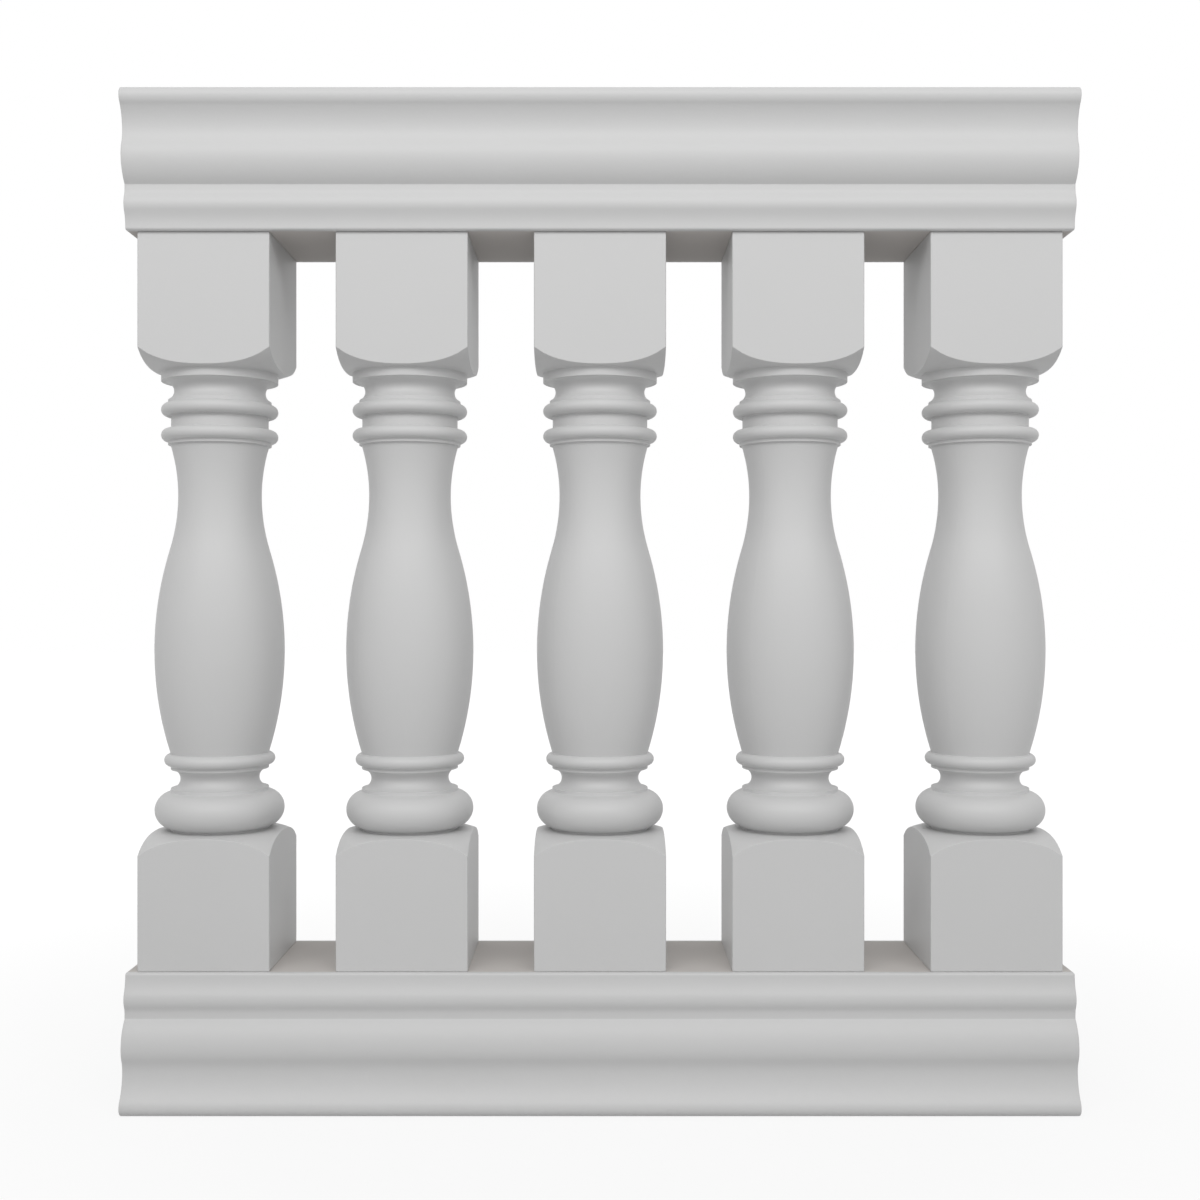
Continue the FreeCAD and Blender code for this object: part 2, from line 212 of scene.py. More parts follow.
# %% Sizes of the turning
# A plain name is a radius from the axis, and a round is the radius of an arc about its own centre.
BLOCK_HEIGHT = 127.0
SHOULDER_RADIUS, SHOULDER_INSET = 50.8, 12.7
COLLAR, COLLAR_HEIGHT = 57.0, 9.9
UPPER_THROAT, UPPER_SCOTIA_ROUND = 44.5, 9.5
RING_CROWN, RING_ROUND = 57.0, 6.3
RING_FILLET, RING_FILLET_HEIGHT, LIP_FILLET_HEIGHT = 50.4, 3.6, 3.4
NECK_BAND, NECK_BAND_HEIGHT = 47.4, 12.6
LIP, NECK, NECK_DROP = 47.9, 40.6, 49.8
BELLY, BELLY_RISE, VASE_SHARE = 63.3, 102.2, 0.652
BEAD_CROWN, BEAD_ROUND, BEAD_FILLET_HEIGHT = 54.0, 6.0, 3.6
LOWER_SCOTIA_ROUND = 9.35
TORUS_CROWN, TORUS_ROUND = 63.2, 18.2
BASE_FILLET, BASE_FILLET_HEIGHT, FOOT_FILLET_HEIGHT = 47.8, 3.4, 3.6
SHOULDER_SETBACK = 2.0

SHOULDER_CENTRE = BLOCK_WIDTH / 2 - SHOULDER_INSET
SHOULDER_EDGE = BLOCK_WIDTH / 2 - SHOULDER_SETBACK
UPPER_LINE = BALUSTER_HEIGHT - BLOCK_HEIGHT
LOWER_LINE = BLOCK_HEIGHT


def half_chord(round_radius, centre, radius):
    """Half the height of a round or a hollow about a centre, where it meets another radius."""
    return np.sqrt(round_radius**2 - (radius - centre) ** 2)


def shoulder_rise(radius):
    """How far a shoulder has curved away from its line: the sagitta of its arc at that radius."""
    at_face = np.sqrt(SHOULDER_RADIUS**2 - SHOULDER_INSET**2)
    return at_face - half_chord(SHOULDER_RADIUS, SHOULDER_CENTRE, radius)


def turning_point(start, end, share):
    """Where a hollow turns into a round, on the line between the points where each stands upright."""
    return tuple(first + (last - first) * share for first, last in zip(start, end))


print("a shoulder curves", round(shoulder_rise(BLOCK_WIDTH * np.sqrt(2) / 2), 1), "mm away at the corners")

# %% Draw the capital


def capital():
    """Strokes of radius and height from the upper shoulder down to the neck of the vase."""
    mouth, ring = UPPER_THROAT + UPPER_SCOTIA_ROUND, RING_CROWN - RING_ROUND
    half_ring = half_chord(RING_ROUND, ring, RING_FILLET)
    shoulder, collar_top = UPPER_LINE + shoulder_rise(SHOULDER_EDGE), UPPER_LINE + shoulder_rise(COLLAR)
    collar_edge = UPPER_LINE - COLLAR_HEIGHT
    scotia = collar_edge - UPPER_SCOTIA_ROUND
    scotia_foot = scotia - half_chord(UPPER_SCOTIA_ROUND, mouth, RING_FILLET)
    ring_top = scotia_foot - RING_FILLET_HEIGHT
    upper_ring = ring_top - half_ring
    band_top = upper_ring - RING_ROUND
    band_foot = band_top - NECK_BAND_HEIGHT
    lower_ring = band_foot - RING_ROUND
    lip_top = lower_ring - half_ring
    lip = lip_top - LIP_FILLET_HEIGHT
    return [
        arc((SHOULDER_EDGE, shoulder), (COLLAR, collar_top), x=SHOULDER_CENTRE),
        straight((COLLAR, collar_edge)),
        arc((mouth, collar_edge), (UPPER_THROAT, scotia), y=scotia),
        arc((UPPER_THROAT, scotia), (RING_FILLET, scotia_foot), y=scotia),
        arc((RING_FILLET, ring_top), (RING_CROWN, upper_ring), y=upper_ring),
        arc((RING_CROWN, upper_ring), (ring, band_top), y=upper_ring),
        straight((NECK_BAND, band_top), (NECK_BAND, band_foot)),
        arc((ring, band_foot), (RING_CROWN, lower_ring), y=lower_ring),
        arc((RING_CROWN, lower_ring), (RING_FILLET, lip_top), y=lower_ring),
        straight((RING_FILLET, lip)),
        arc((LIP, lip), (NECK, lip - NECK_DROP), y=lip - NECK_DROP),
    ]


CAPITAL = capital()
print("capital:", len(CAPITAL), "strokes, the neck at", np.round(CAPITAL[-1][-1], 1))

# %% Draw the base


def base():
    """Strokes of radius and height from the belly of the vase down to the lower shoulder."""
    torus, bead = TORUS_CROWN - TORUS_ROUND, BEAD_CROWN - BEAD_ROUND
    half_torus = half_chord(TORUS_ROUND, torus, BASE_FILLET)
    half_bead = half_chord(BEAD_ROUND, bead, BASE_FILLET)
    throat = BASE_FILLET - LOWER_SCOTIA_ROUND
    shoulder = LOWER_LINE - shoulder_rise(SHOULDER_EDGE)
    shoulder_top = LOWER_LINE - shoulder_rise(BASE_FILLET)
    torus_foot = LOWER_LINE + FOOT_FILLET_HEIGHT
    torus_level = torus_foot + half_torus
    torus_top = torus_level + half_torus
    cove_foot = torus_top + BASE_FILLET_HEIGHT
    scotia = cove_foot + LOWER_SCOTIA_ROUND
    cove_top = scotia + LOWER_SCOTIA_ROUND
    bead_foot = cove_top + BEAD_FILLET_HEIGHT
    bead_level = bead_foot + half_bead
    vase_foot = bead_level + half_bead
    belly = vase_foot + BELLY_RISE
    return [
        arc((BELLY, belly), (BASE_FILLET, vase_foot), y=belly),
        arc((BASE_FILLET, vase_foot), (BEAD_CROWN, bead_level), y=bead_level),
        arc((BEAD_CROWN, bead_level), (BASE_FILLET, bead_foot), y=bead_level),
        arc((BASE_FILLET, cove_top), (throat, scotia), y=scotia),
        arc((throat, scotia), (BASE_FILLET, cove_foot), y=scotia),
        arc((BASE_FILLET, torus_top), (TORUS_CROWN, torus_level), y=torus_level),
        arc((TORUS_CROWN, torus_level), (BASE_FILLET, torus_foot), y=torus_level),
        arc((BASE_FILLET, shoulder_top), (SHOULDER_EDGE, shoulder), x=SHOULDER_CENTRE),
    ]


BASE = base()
print("base:", len(BASE), "strokes, the belly at", np.round(BASE[0][0], 1))

# %% Join them with the vase


def vase(neck, belly):
    """The hollow under the neck and the round above the belly: two arcs that meet on one tangent."""
    turn = turning_point(belly, neck, VASE_SHARE)
    return [arc(neck, turn, y=neck[1]), arc(turn, belly, y=belly[1])]


TURNED = eased(*CAPITAL, *vase(CAPITAL[-1][-1], BASE[0][0]), *BASE)
print("turned profile:", len(TURNED), "stations")

# %% [markdown]
# ## The square blocks
#
# Going round the axis at the height of a block, the distance to the surface is that of a square with
# rounded corners. Each shoulder is turned, so it cuts every face of the block along a curve, which reaches
# farthest towards the turning in the middle of the face and draws back at the corners. A Boolean could cut
# it, with long thin faces along the edge. Here the rows of the grid follow the curve exactly instead, and
# a small round lies along it.

# %% Directions round the axis
ARRIS, CREASE = 1.2, 0.4
FACE_STEPS, CORNER_STEPS = 22, 5
FACES_ROUND = 4


def directions():
    """Angles round the axis, evenly over each flat face and closely over each rounded corner."""
    flat_end = np.arctan2(BLOCK_WIDTH / 2 - ARRIS, BLOCK_WIDTH / 2)
    face = np.linspace(-flat_end, flat_end, FACE_STEPS + 1)
    corner = np.linspace(flat_end, np.pi / 2 - flat_end, CORNER_STEPS + 1)[1:-1]
    quarter = np.concatenate([face, corner])
    on_face = np.arange(len(quarter)) < FACE_STEPS
    starts = np.arange(FACES_ROUND) * np.pi / 2
    return (starts[:, None] + quarter).ravel(), np.tile(on_face, FACES_ROUND)


def square_reach(angle):
    """Distance from the axis to a square with rounded corners: face over cosine, or the corner's circle."""
    half = BLOCK_WIDTH / 2
    folded = np.abs((angle + np.pi / 4) % (np.pi / 2) - np.pi / 4)
    face = half / np.cos(folded)
    along = (half - ARRIS) * (np.cos(folded) + np.sin(folded))
    corner = along + np.sqrt(np.maximum(along**2 - 2 * (half - ARRIS) ** 2 + ARRIS**2, 0))
    return np.where(np.tan(folded) <= (half - ARRIS) / half, face, corner)


ANGLES, ON_FACE = directions()
REACH = square_reach(ANGLES)
print("columns:", len(ANGLES), "reach from", round(REACH.min(), 2), "to", round(REACH.max(), 2))

# %% Rows as pairs of radius and height
ROUND_STEPS = 5


def column_pairs(radius, height):
    """One row: a radius and a height for every column."""
    return np.stack([radius + 0 * ANGLES, height + 0 * ANGLES], axis=-1)


def rounded(corner, before, after, size):
    """Rows of a small round at a corner: it leaves along one direction and arrives along the other,
    weighted by (1 - t) squared and t squared."""
    t = np.linspace(0, 1, ROUND_STEPS)[:, None, None]
    return corner + size * ((1 - t) ** 2 * before + t**2 * after)


def rows_between(first, last, steps):
    """Rows on the straight way from one row to another, without its ends."""
    t = np.linspace(0, 1, steps + 1)[1:-1, None, None]
    return first + t * (last - first)


OUTWARD, UPWARD = column_pairs(1.0, 0.0), column_pairs(0.0, 1.0)
print("a round has", len(rounded(OUTWARD, UPWARD, OUTWARD, ARRIS)), "rows")

# %% Rows of one baluster
SHOULDER_STEPS, SIDE_STEPS = 9, 6


def crease_rows():
    """The small round between a face and the shoulder: it leaves up the face and arrives along the arc."""
    slope = (REACH - SHOULDER_CENTRE) / half_chord(SHOULDER_RADIUS, SHOULDER_CENTRE, REACH)
    inward = column_pairs(-1.0, -slope) / np.hypot(1, slope)[:, None]
    return rounded(column_pairs(REACH, shoulder_rise(REACH)), UPWARD, inward, CREASE)


def shoulder_rows(start):
    """Rows over the shoulder: each radius goes evenly from its start to the turning, on the arc."""
    t = np.linspace(0, 1, SHOULDER_STEPS)[1:-1, None]
    radius = start + t * (SHOULDER_EDGE - start)
    return np.stack([radius, shoulder_rise(radius)], axis=-1)


def block_rows():
    """Rows of a block standing on its shoulder line at zero, from its bore to where the turning begins."""
    bore_edge = rounded(column_pairs(BORE_RADIUS, BLOCK_HEIGHT), -UPWARD, OUTWARD, ARRIS)
    end_edge = rounded(column_pairs(REACH, BLOCK_HEIGHT), -OUTWARD, -UPWARD, ARRIS)
    crease = crease_rows()
    end_face = rows_between(bore_edge[-1], end_edge[0], SIDE_STEPS)
    side = rows_between(end_edge[-1], crease[0], SIDE_STEPS)
    shoulder = shoulder_rows(crease[-1, :, 0])
    return np.concatenate([bore_edge, end_face, end_edge, side, crease, shoulder])


def baluster_rows():
    """The whole outline in a loop: upper block, turning, lower block, and the bore closes it."""
    upper = block_rows()
    lower = upper[::-1] * [1, -1]
    turned = np.repeat(TURNED[:, None], len(ANGLES), axis=1)
    return np.concatenate([upper + [0, UPPER_LINE], turned, lower + [0, LOWER_LINE]])


ROWS = baluster_rows()
print("rows:", len(ROWS), "of", ROWS.shape[1], "columns")

# %% Make the balusters


def flat_quads():
    """Which quads lie on a flat face: an end, or a side on a face column, counted from the nearer end."""
    end_first, end_last = ROUND_STEPS - 1, ROUND_STEPS + SIDE_STEPS - 2
    side_first = end_last + ROUND_STEPS
    side_last = side_first + SIDE_STEPS - 1
    row = np.arange(len(ROWS))
    count = np.minimum(row, len(ROWS) - 2 - row)[:, None]
    on_end = (count >= end_first) & (count <= end_last)
    on_side = (count >= side_first) & (count <= side_last)
    return on_end | on_side & ON_FACE


def make_baluster(node):
    """The rows carried round the baluster's own axis: x and y from radius and angle, z from height."""
    low, high = box_mm(node)
    centre = (low + high) / 2
    radius, height = ROWS[..., 0], ROWS[..., 1]
    points = np.stack(
        [centre[0] + radius * np.cos(ANGLES), centre[1] + radius * np.sin(ANGLES), low[2] + height], axis=-1
    )
    faces = quads(*radius.shape, close_rows=True, close_columns=True).reshape(-1, 4)
    piece = new_piece(f"turned_{node}", points.reshape(-1, 3), faces.tolist(), ~flat_quads().ravel())
    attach(piece, "root")
    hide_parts(node)
    return piece


turned_balusters = [make_baluster(node) for node in BALUSTERS]
print("balusters:", len(turned_balusters), "of", len(turned_balusters[0].data.polygons), "quads")

# %% [markdown]
# ## The rail moulding
#
# Both rails are one moulding, turned over for the bottom rail. Its half section climbs from the flat
# seat through a band, a bead, a quirk, an ogee and a cove to the crown. A curve with a bevel profile could
# carry it along, but the seat has to be opened for the bores, which is simpler on a grid of known rows. At
# each end the section shrinks a little over the last millimetre, so that the sawn edge is not sharp.

# %% Draw the rail section
SEAT_WIDTH, SEAT_ROUND, SEAT_EDGE = 132.4, 2.5, 3.0
RAIL_BEAD_WIDTH, RAIL_BEAD_LEVEL, BAND_SHARE = 148.6, 25.0, 0.68
QUIRK_WIDTH, QUIRK_RISE, QUIRK_HEIGHT, BEAD_SHARE = 141.6, 13.5, 4.7, 0.55
OGEE_WIDTH, OGEE_HEIGHT, OGEE_SHARE = 165.2, 26.8, 0.5
COVE_WIDTH, COVE_RISE = 155.4, 22.0
CROWN_FOOT_WIDTH, CROWN_HEIGHT, CROWN_ROUND = 170.6, 16.2, 7.8
SEAT_STRIP = SEAT_WIDTH / 2 - SEAT_EDGE


def rail_half_section():
    """Half width and height above the seat, from the seat's flat to the flat of the crown."""
    band = (SEAT_WIDTH / 2 + SEAT_ROUND, SEAT_ROUND)
    bead = (RAIL_BEAD_WIDTH / 2, RAIL_BEAD_LEVEL)
    quirk = (QUIRK_WIDTH / 2, RAIL_BEAD_LEVEL + QUIRK_RISE)
    ogee_foot = (QUIRK_WIDTH / 2, quirk[1] + QUIRK_HEIGHT)
    ogee = (OGEE_WIDTH / 2, ogee_foot[1] + OGEE_HEIGHT)
    cove = (COVE_WIDTH / 2, ogee[1] + COVE_RISE)
    crown_foot = (CROWN_FOOT_WIDTH / 2, RAIL_HEIGHT - CROWN_HEIGHT)
    crown = (RAIL_WIDTH / 2, RAIL_HEIGHT - CROWN_ROUND)
    band_end = turning_point(band, bead, BAND_SHARE)
    bead_end = turning_point(bead, quirk, BEAD_SHARE)
    ogee_end = turning_point(ogee, cove, OGEE_SHARE)
    return eased(
        straight((SEAT_STRIP, 0)),
        arc((SEAT_WIDTH / 2, 0), band, y=band[1]),
        arc(band, band_end, y=band[1]),
        arc(band_end, bead, y=bead[1]),
        arc(bead, bead_end, y=bead[1]),
        arc(bead_end, quirk, y=quirk[1]),
        arc(ogee_foot, ogee, y=ogee[1]),
        arc(ogee, ogee_end, y=ogee[1]),
        arc(ogee_end, cove, y=cove[1]),
        arc(cove, crown_foot, y=cove[1]),
        arc(crown_foot, crown, y=crown[1]),
        arc(crown, (crown[0] - CROWN_ROUND, RAIL_HEIGHT), y=crown[1]),
        straight((crown[0] - 2 * CROWN_ROUND, RAIL_HEIGHT)),
    )


HALF_SECTION = rail_half_section()
# Edges of the closed section, counted from the seat: the crown's flat, and the first one of the seat.
CROWN_FLAT, SEAT_FIRST = len(HALF_SECTION) - 1, 2 * len(HALF_SECTION) - 1
print("half section:", len(HALF_SECTION), "stations")

# %% [markdown]
# ## The bored seat
#
# The pipes stand in blind bores in the seats. A Boolean could drill them, and would leave slivers in a flat
# face. Instead a grid goes round each bore: its inner line is the circle, its outer line a rectangle, and
# the rows between are straight blends of the two. The rectangles share their edge points with the swept
# section, so the seat closes without a seam.

# %% Section loop and stations along the rail
SEAT_STEPS, PATCH_STEPS = 12, 12
PATCH_HALF = 60.0
END_EASE, END_STEPS = 1.2, 4

SEAT_POINTS = np.linspace(-SEAT_STRIP, SEAT_STRIP, SEAT_STEPS + 1)
PATCH_POINTS = np.linspace(-PATCH_HALF, PATCH_HALF, PATCH_STEPS + 1)
INNER_X = (AXES[:, None] + PATCH_POINTS).ravel()


def section_loop():
    """The closed section: up the right half, down the left half, and back along the seat."""
    left = HALF_SECTION[::-1] * [-1, 1]
    seat = np.stack([SEAT_POINTS[1:-1], np.zeros(SEAT_STEPS - 1)], axis=-1)
    return np.concatenate([HALF_SECTION, left, seat])


def inset_section(section, amount):
    """Each point moved inwards along the mean normal of its two edges."""
    ahead, behind = np.roll(section, -1, axis=0) - section, section - np.roll(section, 1, axis=0)
    run = ahead / np.hypot(*ahead.T)[:, None] + behind / np.hypot(*behind.T)[:, None]
    run = run / np.hypot(*run.T)[:, None]
    return section + amount * np.stack([-run[:, 1], run[:, 0]], axis=-1)


def swept_rail(section):
    """The section at every station along the rail; near an end its inset follows a quarter circle."""
    turn = np.linspace(0, np.pi / 2, END_STEPS + 1)
    end_x, inset = RAIL_LENGTH / 2 - END_EASE * (1 - np.sin(turn)), END_EASE * (1 - np.cos(turn))
    x = np.concatenate([-end_x[::-1], INNER_X, end_x])
    inset = np.concatenate([inset[::-1], 0 * INNER_X, inset])
    sections = np.stack([inset_section(section, amount) for amount in inset])
    along = np.broadcast_to(x[:, None, None], sections.shape[:2] + (1,))
    return np.concatenate([along, sections], axis=-1)


SWEEP = swept_rail(section_loop())
print("sweep:", SWEEP.shape[0], "sections of", SWEEP.shape[1], "points")

# %% Faces of the sweep


def rail_shell():
    """Faces of the sweep without the seat over the bores, then its two ends; whether each is shaded smooth,
    as all are but the seat, the crown's flat and the ends; and whether it is bare foam, as the seat is."""
    rows, columns = SWEEP.shape[:2]
    faces = quads(rows, columns, close_columns=True)
    quad_x = (SWEEP[:-1, 0, 0] + SWEEP[1:, 0, 0]) / 2
    over_bore = np.abs(quad_x[:, None] - AXES).min(axis=1) < PATCH_HALF
    bare = np.zeros(faces.shape[:2], bool)
    bare[END_STEPS : rows - 1 - END_STEPS, SEAT_FIRST:] = True
    smooth = ~bare
    smooth[:, CROWN_FLAT] = False
    keep = ~(bare & over_bore[:, None])
    ends = [faces[0, ::-1, 0].tolist(), faces[-1, :, 1].tolist()]
    neither = [False] * len(ends)
    return faces[keep].tolist() + ends, smooth[keep].tolist() + neither, bare[keep].tolist() + neither


print("shell:", len(rail_shell()[0]), "faces")

# %% Line a bore
PATCH_ROWS, BORE_ROWS, FLOOR_ROWS = 4, 3, 3
FLOOR_EYE = 0.02
PIPE_END_GAP = 3.0


def bore_grid(axis, depth):
    """Seat, wall and floor round one bore: blends from rectangle to circle, then down and to the middle."""
    front = np.stack([PATCH_POINTS[:-1], np.full(PATCH_STEPS, -SEAT_STRIP)], axis=-1)
    right = np.stack([np.full(SEAT_STEPS, PATCH_HALF), SEAT_POINTS[:-1]], axis=-1)
    outer = np.concatenate([front, right, -front, -right])
    rim = outer / np.hypot(*outer.T)[:, None] * BORE_RADIUS
    t = np.linspace(0, 1, PATCH_ROWS + 1)[:, None, None]
    seat = outer + t * (rim - outer)
    deep = np.linspace(0, depth, BORE_ROWS + 1)[1:]
    shrink = np.linspace(1, FLOOR_EYE, FLOOR_ROWS + 1)[1:]
    plan = np.concatenate([seat, np.repeat(rim[None], BORE_ROWS, axis=0), rim * shrink[:, None, None]])
    height = np.concatenate([np.zeros(PATCH_ROWS + 1), deep, np.full(FLOOR_ROWS, depth)])
    height = np.broadcast_to(height[:, None, None], plan.shape[:2] + (1,))
    return np.concatenate([plan + [axis, 0], height], axis=-1)


def bore_faces(grid, first):
    """Faces of one bore, whose points are numbered from first, and their shading: only the wall is smooth."""
    faces = quads(*grid.shape[:2], close_columns=True) + first
    row = np.arange(len(faces))
    on_wall = (row >= PATCH_ROWS) & (row < PATCH_ROWS + BORE_ROWS)
    eye = faces[-1, :, 1].tolist()
    return faces.reshape(-1, 4).tolist() + [eye], np.repeat(on_wall, faces.shape[1]).tolist() + [False]


PIPE_LOW, PIPE_HIGH = box_mm(PIPES[0])[:, 2]
BOTTOM_DEPTH = box_mm("bottom_rail")[1, 2] - PIPE_LOW
TOP_DEPTH = PIPE_HIGH - box_mm("top_rail")[0, 2] + PIPE_END_GAP
print("bores:", round(BOTTOM_DEPTH, 1), "mm deep below and", round(TOP_DEPTH, 1), "mm deep above")

# %% Make the rails


def make_rail(node, upside_down, depth):
    """The sweep and its bores in one mesh, standing on its seat or turned over about its length."""
    bores = [bore_grid(axis, depth) for axis in AXES]
    polygons, smooth, bare = rail_shell()
    first = SWEEP[..., 0].size
    for grid in bores:
        faces, shading = bore_faces(grid, first)
        polygons += faces
        smooth += shading
        bare += [True] * len(faces)
        first += grid[..., 0].size
    points = np.concatenate([grid.reshape(-1, 3) for grid in [SWEEP, *bores]])
    low, high = box_mm(node)
    if upside_down:
        points = points * [1, -1, -1] + [0, 0, high[2]]
    else:
        points = points + [0, 0, low[2]]
    piece = new_piece(f"moulded_{node}", points, polygons, smooth)
    marks = piece.data.attributes.new("bare", "FLOAT", "FACE")
    marks.data.foreach_set("value", np.array(bare, float))
    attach(piece, "root")
    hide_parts(node)
    return piece


rails = [make_rail("bottom_rail", True, BOTTOM_DEPTH), make_rail("top_rail", False, TOP_DEPTH)]
print("rails:", [len(rail.data.polygons) for rail in rails], "faces")

# %% [markdown]
# ## Closing the skins
#
# A real moulding is one closed skin. The bores were made apart from the sweep, but both have the same points
# where they meet, so no cut or bridge is needed and merging those points joins them. An edge of a closed
# skin has two faces, and the edges that have not are counted as a test.

# %% Weld
WELD = 0.01 * MM


def weld(piece):
    """Merges points that lie on each other, turns every face outwards and counts the open edges."""
    work = bmesh.new()
    work.from_mesh(piece.data)
    bmesh.ops.remove_doubles(work, verts=work.verts, dist=WELD)
    bmesh.ops.recalc_face_normals(work, faces=work.faces)
    open_edges = sum(1 for edge in work.edges if len(edge.link_faces) != 2)
    work.to_mesh(piece.data)
    work.free()
    return open_edges


print("open edges:", [weld(piece) for piece in rails + turned_balusters])

# %% [markdown]
# ## Shader maths as expressions
#
# A finish is easier to read as a formula than as a web of links. The class below wraps one socket. Adding,
# subtracting or multiplying two of them adds a Math node, and one method adds any other node, with its
# settings first and its sockets after.

# %% A socket that can do sums


class Socket:
    """An output socket of a shader node, with arithmetic."""

    def __init__(self, tree, output):
        self.tree, self.output = tree, output

    @classmethod
    def node(cls, tree, kind, settings=None, sockets=None, out=0):
        """Adds a node, applies its settings, then fills its sockets with values or links."""
        made = tree.nodes.new(kind)
        for key, value in (settings or {}).items():
            setattr(made, key, value)
        for key, value in (sockets or {}).items():
            if isinstance(value, cls):
                tree.links.new(value.output, made.inputs[key])
            else:
                made.inputs[key].default_value = value
        return cls(tree, made.outputs[out]) if made.outputs else None

    def math(self, operation, first, second):
        """One Math node on two values."""
        return self.node(self.tree, "ShaderNodeMath", {"operation": operation}, {0: first, 1: second})

    def __add__(self, other):
        return self.math("ADD", self, other)

    def __radd__(self, other):
        return self.math("ADD", other, self)

    def __sub__(self, other):
        return self.math("SUBTRACT", self, other)

    def __rsub__(self, other):
        return self.math("SUBTRACT", other, self)

    def __mul__(self, other):
        return self.math("MULTIPLY", self, other)

    def __rmul__(self, other):
        return self.math("MULTIPLY", other, self)


def mixed_colour(tree, factor, first, second):
    """A Mix node set to colours: its factor is socket 0, its colours 6 and 7, and its result output 2."""
    return Socket.node(tree, "ShaderNodeMix", {"data_type": "RGBA"}, {0: factor, 6: first, 7: second}, out=2)


def new_material(name):
    """An empty node material and its tree."""
    material = bpy.data.materials.new(name)
    material.use_nodes = True
    material.node_tree.nodes.clear()
    return material, material.node_tree


print("socket class ready")

# %% [markdown]
# ## Primed urethane
#
# The mouldings are foam with a dense skin, sprayed with a pale primer. Up close the spray leaves a fine
# orange peel, and over a hand's width the coat is a shade thicker here and thinner there. A painted image
# could show both, but noise on Object coordinates has no seams and keeps its real size on every piece. The
# seats of the rails stay bare, because adhesive holds on bare foam: a face attribute marks them, and there
# the warmer, rougher foam takes the place of the primer.

# %% Primer finish
PRIMER, PRIMER_THIN = (0.66, 0.66, 0.66, 1), (0.632, 0.632, 0.63, 1)
BARE_FOAM = (0.6, 0.57, 0.545, 1)
DRIFT_SCALE, DRIFT_DETAIL = 9.0, 3.0
PEEL_SCALE, PEEL_DETAIL, PEEL_SHARE = 420.0, 2.0, 0.4
SWELL_SCALE, SWELL_DETAIL, SWELL_SHARE = 45.0, 1.0, 0.6
PEEL_STRENGTH, PEEL_HEIGHT = 0.25, 0.4 * MM
PRIMER_ROUGHNESS, DRIFT_ROUGHNESS, BARE_ROUGHNESS = 0.42, 0.16, 0.3


def noise(tree, place, scale, detail):
    """Noise between zero and one over a place; the scale is about how often it swings in a metre."""
    return Socket.node(tree, "ShaderNodeTexNoise", {}, {"Vector": place, "Scale": scale, "Detail": detail})


def primed_urethane():
    """Colour and roughness drift with broad noise; the bump is fine noise under a coarser swell."""
    material, tree = new_material("primed_urethane")
    place = Socket.node(tree, "ShaderNodeTexCoord", out="Object")
    drift = noise(tree, place, DRIFT_SCALE, DRIFT_DETAIL)
    peel = noise(tree, place, PEEL_SCALE, PEEL_DETAIL)
    swell = noise(tree, place, SWELL_SCALE, SWELL_DETAIL)
    bare = Socket.node(tree, "ShaderNodeAttribute", {"attribute_name": "bare"}, out="Fac")
    coat = mixed_colour(tree, drift, PRIMER_THIN, PRIMER)
    height = PEEL_SHARE * peel + SWELL_SHARE * swell
    relief = {"Strength": PEEL_STRENGTH, "Distance": PEEL_HEIGHT, "Height": height}
    finish = {
        "Base Color": mixed_colour(tree, bare, coat, BARE_FOAM),
        "Roughness": PRIMER_ROUGHNESS + DRIFT_ROUGHNESS * drift + BARE_ROUGHNESS * bare,
        "Normal": Socket.node(tree, "ShaderNodeBump", {}, relief),
    }
    shader = Socket.node(tree, "ShaderNodeBsdfPrincipled", {}, finish)
    Socket.node(tree, "ShaderNodeOutputMaterial", {}, {"Surface": shader})
    return material


primer = primed_urethane()
for piece in rails + turned_balusters:
    piece.data.materials.append(primer)
print("primer on", len(rails + turned_balusters), "pieces")

# %% [markdown]
# ## Galvanised pipe
#
# The core pipes are hot-dipped: zinc freezes in flat crystals a few millimetres wide that differ in
# brightness and gloss. A plain tube needs no new shape, so the pipes keep the meshes of their solids, and
# a cell pattern gives each crystal its own value.

# %% Zinc finish
ZINC_DARK, ZINC_LIGHT = (0.42, 0.43, 0.44, 1), (0.62, 0.63, 0.64, 1)
CRYSTAL_SCALE = 180.0
ZINC_ROUGHNESS, CRYSTAL_ROUGHNESS = 0.38, 0.2


def galvanised_pipe():
    """Colour and roughness follow the value of the crystal that a point falls in."""
    material, tree = new_material("galvanised_pipe")
    place = Socket.node(tree, "ShaderNodeTexCoord", out="Object")
    cells = {"Vector": place, "Scale": CRYSTAL_SCALE}
    crystal = Socket.node(tree, "ShaderNodeTexVoronoi", {}, cells, out="Color")
    value = Socket.node(tree, "ShaderNodeSeparateColor", {}, {"Color": crystal}, out="Red")
    finish = {
        "Base Color": mixed_colour(tree, value, ZINC_DARK, ZINC_LIGHT),
        "Metallic": 1.0,
        "Roughness": ZINC_ROUGHNESS + CRYSTAL_ROUGHNESS * value,
    }
    shader = Socket.node(tree, "ShaderNodeBsdfPrincipled", {}, finish)
    Socket.node(tree, "ShaderNodeOutputMaterial", {}, {"Surface": shader})
    return material


zinc = galvanised_pipe()
for name in PIPES:
    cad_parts[name].data.materials.clear()
    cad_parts[name].data.materials.append(zinc)
print("zinc on", len(PIPES), "pipes")

# %% [markdown]
# ## White surroundings
#
# A studio shot has white all round. A brighter lamp would bleach the railing too, so the world and the floor
# turn white only for rays from the camera, reflections and transmissions, and light the railing as a pale
# room does. The floor keeps part of its own shading near the railing, so the shadow under the rail stays.

# %% World
WHITE = (1, 1, 1, 1)
WORLD_LIGHT = 0.48


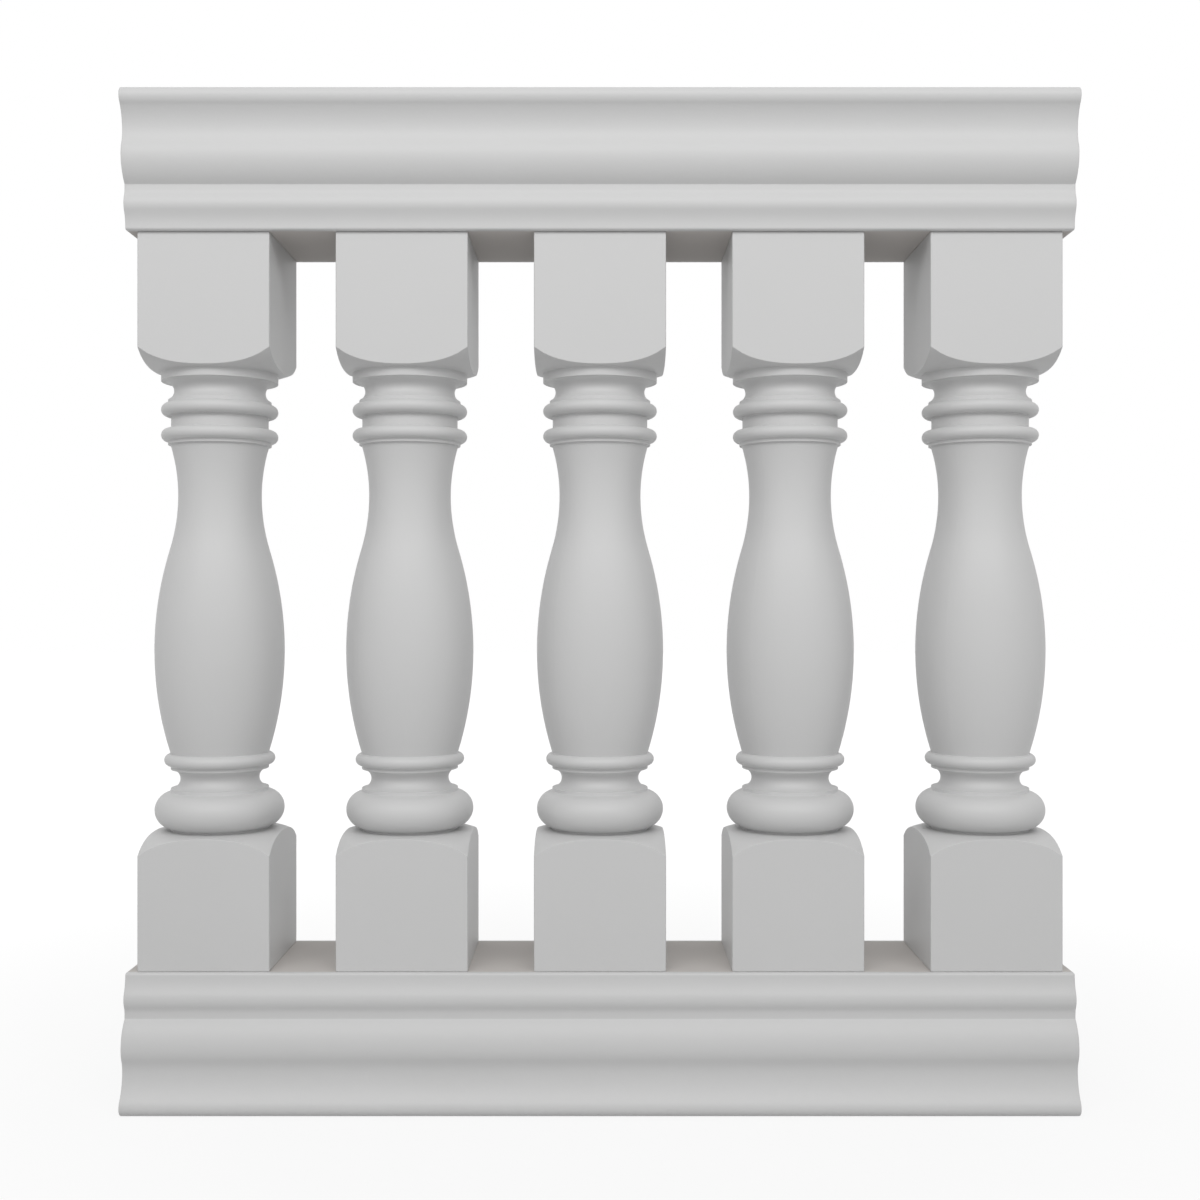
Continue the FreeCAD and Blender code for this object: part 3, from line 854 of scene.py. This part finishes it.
def seen_directly(tree):
    """One where a ray comes from the camera, a reflection or a transmission, and zero elsewhere: one minus
    the product of one minus each of the three masks."""
    kinds = ("Is Camera Ray", "Is Glossy Ray", "Is Transmission Ray")
    camera, glossy, transmission = [Socket.node(tree, "ShaderNodeLightPath", out=kind) for kind in kinds]
    return 1 - (1 - camera) * (1 - glossy) * (1 - transmission)


world = bpy.data.worlds.new("studio")
bpy.context.scene.world = world
world.use_nodes = True
sky_tree = world.node_tree
sky_tree.nodes.clear()
strength = WORLD_LIGHT + (1 - WORLD_LIGHT) * seen_directly(sky_tree)
sky = Socket.node(sky_tree, "ShaderNodeBackground", {}, {"Color": WHITE, "Strength": strength})
Socket.node(sky_tree, "ShaderNodeOutputWorld", {}, {"Surface": sky})
print("world light", WORLD_LIGHT)

# %% Floor
FLOOR_HALF = 12.0
FLOOR_COLOUR = (0.65, 0.65, 0.65, 1)
FLOOR_WHITE, FLOOR_GLOW = 0.8, 1.06
FADE_START, FADE_END = 0.35, 1.6


def floor_finish():
    """Pale and matt, with white mixed in for the camera: some near the railing, all of it farther off."""
    material, tree = new_material("studio_floor")
    place = Socket.node(tree, "ShaderNodeTexCoord", out="Object")
    distance = Socket.node(tree, "ShaderNodeVectorMath", {"operation": "LENGTH"}, {0: place}, out="Value")
    near = {"From Min": FADE_START, "To Min": FLOOR_WHITE}
    far = {"From Max": FADE_END, "To Max": 1.0}
    fade = Socket.node(tree, "ShaderNodeMapRange", {}, {"Value": distance, **near, **far})
    matt = Socket.node(tree, "ShaderNodeBsdfDiffuse", {}, {"Color": FLOOR_COLOUR})
    white = Socket.node(tree, "ShaderNodeEmission", {}, {"Color": WHITE, "Strength": FLOOR_GLOW})
    mixed = Socket.node(tree, "ShaderNodeMixShader", {}, {0: fade * seen_directly(tree), 1: matt, 2: white})
    Socket.node(tree, "ShaderNodeOutputMaterial", {}, {"Surface": mixed})
    return material


floor_corners = FLOOR_HALF / MM * np.array([(-1, -1, 0), (1, -1, 0), (1, 1, 0), (-1, 1, 0)])
floor = new_piece("studio_floor", floor_corners, [[0, 1, 2, 3]], [False])
floor.data.materials.append(floor_finish())
print("floor", 2 * FLOOR_HALF, "m wide")

# %% [markdown]
# ## Lamp
#
# Mouldings are read by their shading: tops light, undersides dark. A lamp from above and in front gives
# that. It is an area lamp, wide along the railing so that no baluster shades the next one hard, and low in
# height so that the rings and hollows keep their contrast.

# %% Hang the lamp
LAMP_PLACE, LAMP_AIM = (0.0, -1.734, 1.854), (0.0, 0.0, 0.5)
LAMP_WIDTH, LAMP_HEIGHT, LAMP_WATTS = 4.0, 0.8, 31.0

light = bpy.data.lights.new("front_lamp", "AREA")
light.shape, light.size, light.size_y, light.energy = "RECTANGLE", LAMP_WIDTH, LAMP_HEIGHT, LAMP_WATTS
lamp = bpy.data.objects.new("front_lamp", light)
lamp.location = LAMP_PLACE
lamp.rotation_euler = (Vector(LAMP_AIM) - Vector(LAMP_PLACE)).to_track_quat("-Z", "Y").to_euler()
bpy.context.scene.collection.objects.link(lamp)
print("lamp", LAMP_WATTS, "W")

# %% [markdown]
# ## Camera
#
# A level camera keeps the upright edges parallel, and this one stands in front of the middle baluster at
# half its height. It is close, so the sides of the outer blocks show, as they do in the photograph.

# %% Place the camera
CAMERA_DISTANCE, CAMERA_LIFT, LENS_MM, SENSOR_MM = 1.474, 0.0015, 44.07, 36.0

camera_data = bpy.data.cameras.new("camera")
camera_data.lens, camera_data.sensor_width = LENS_MM, SENSOR_MM
camera = bpy.data.objects.new("camera", camera_data)
camera.location = (0.0, -CAMERA_DISTANCE, (baluster_low[2] + BALUSTER_HEIGHT / 2) * MM + CAMERA_LIFT)
camera.rotation_euler = (np.pi / 2, 0.0, 0.0)
bpy.context.scene.collection.objects.link(camera)
bpy.context.scene.camera = camera
bpy.context.scene.view_settings.view_transform = "Standard"
print("camera at", tuple(round(value, 4) for value in camera.location))
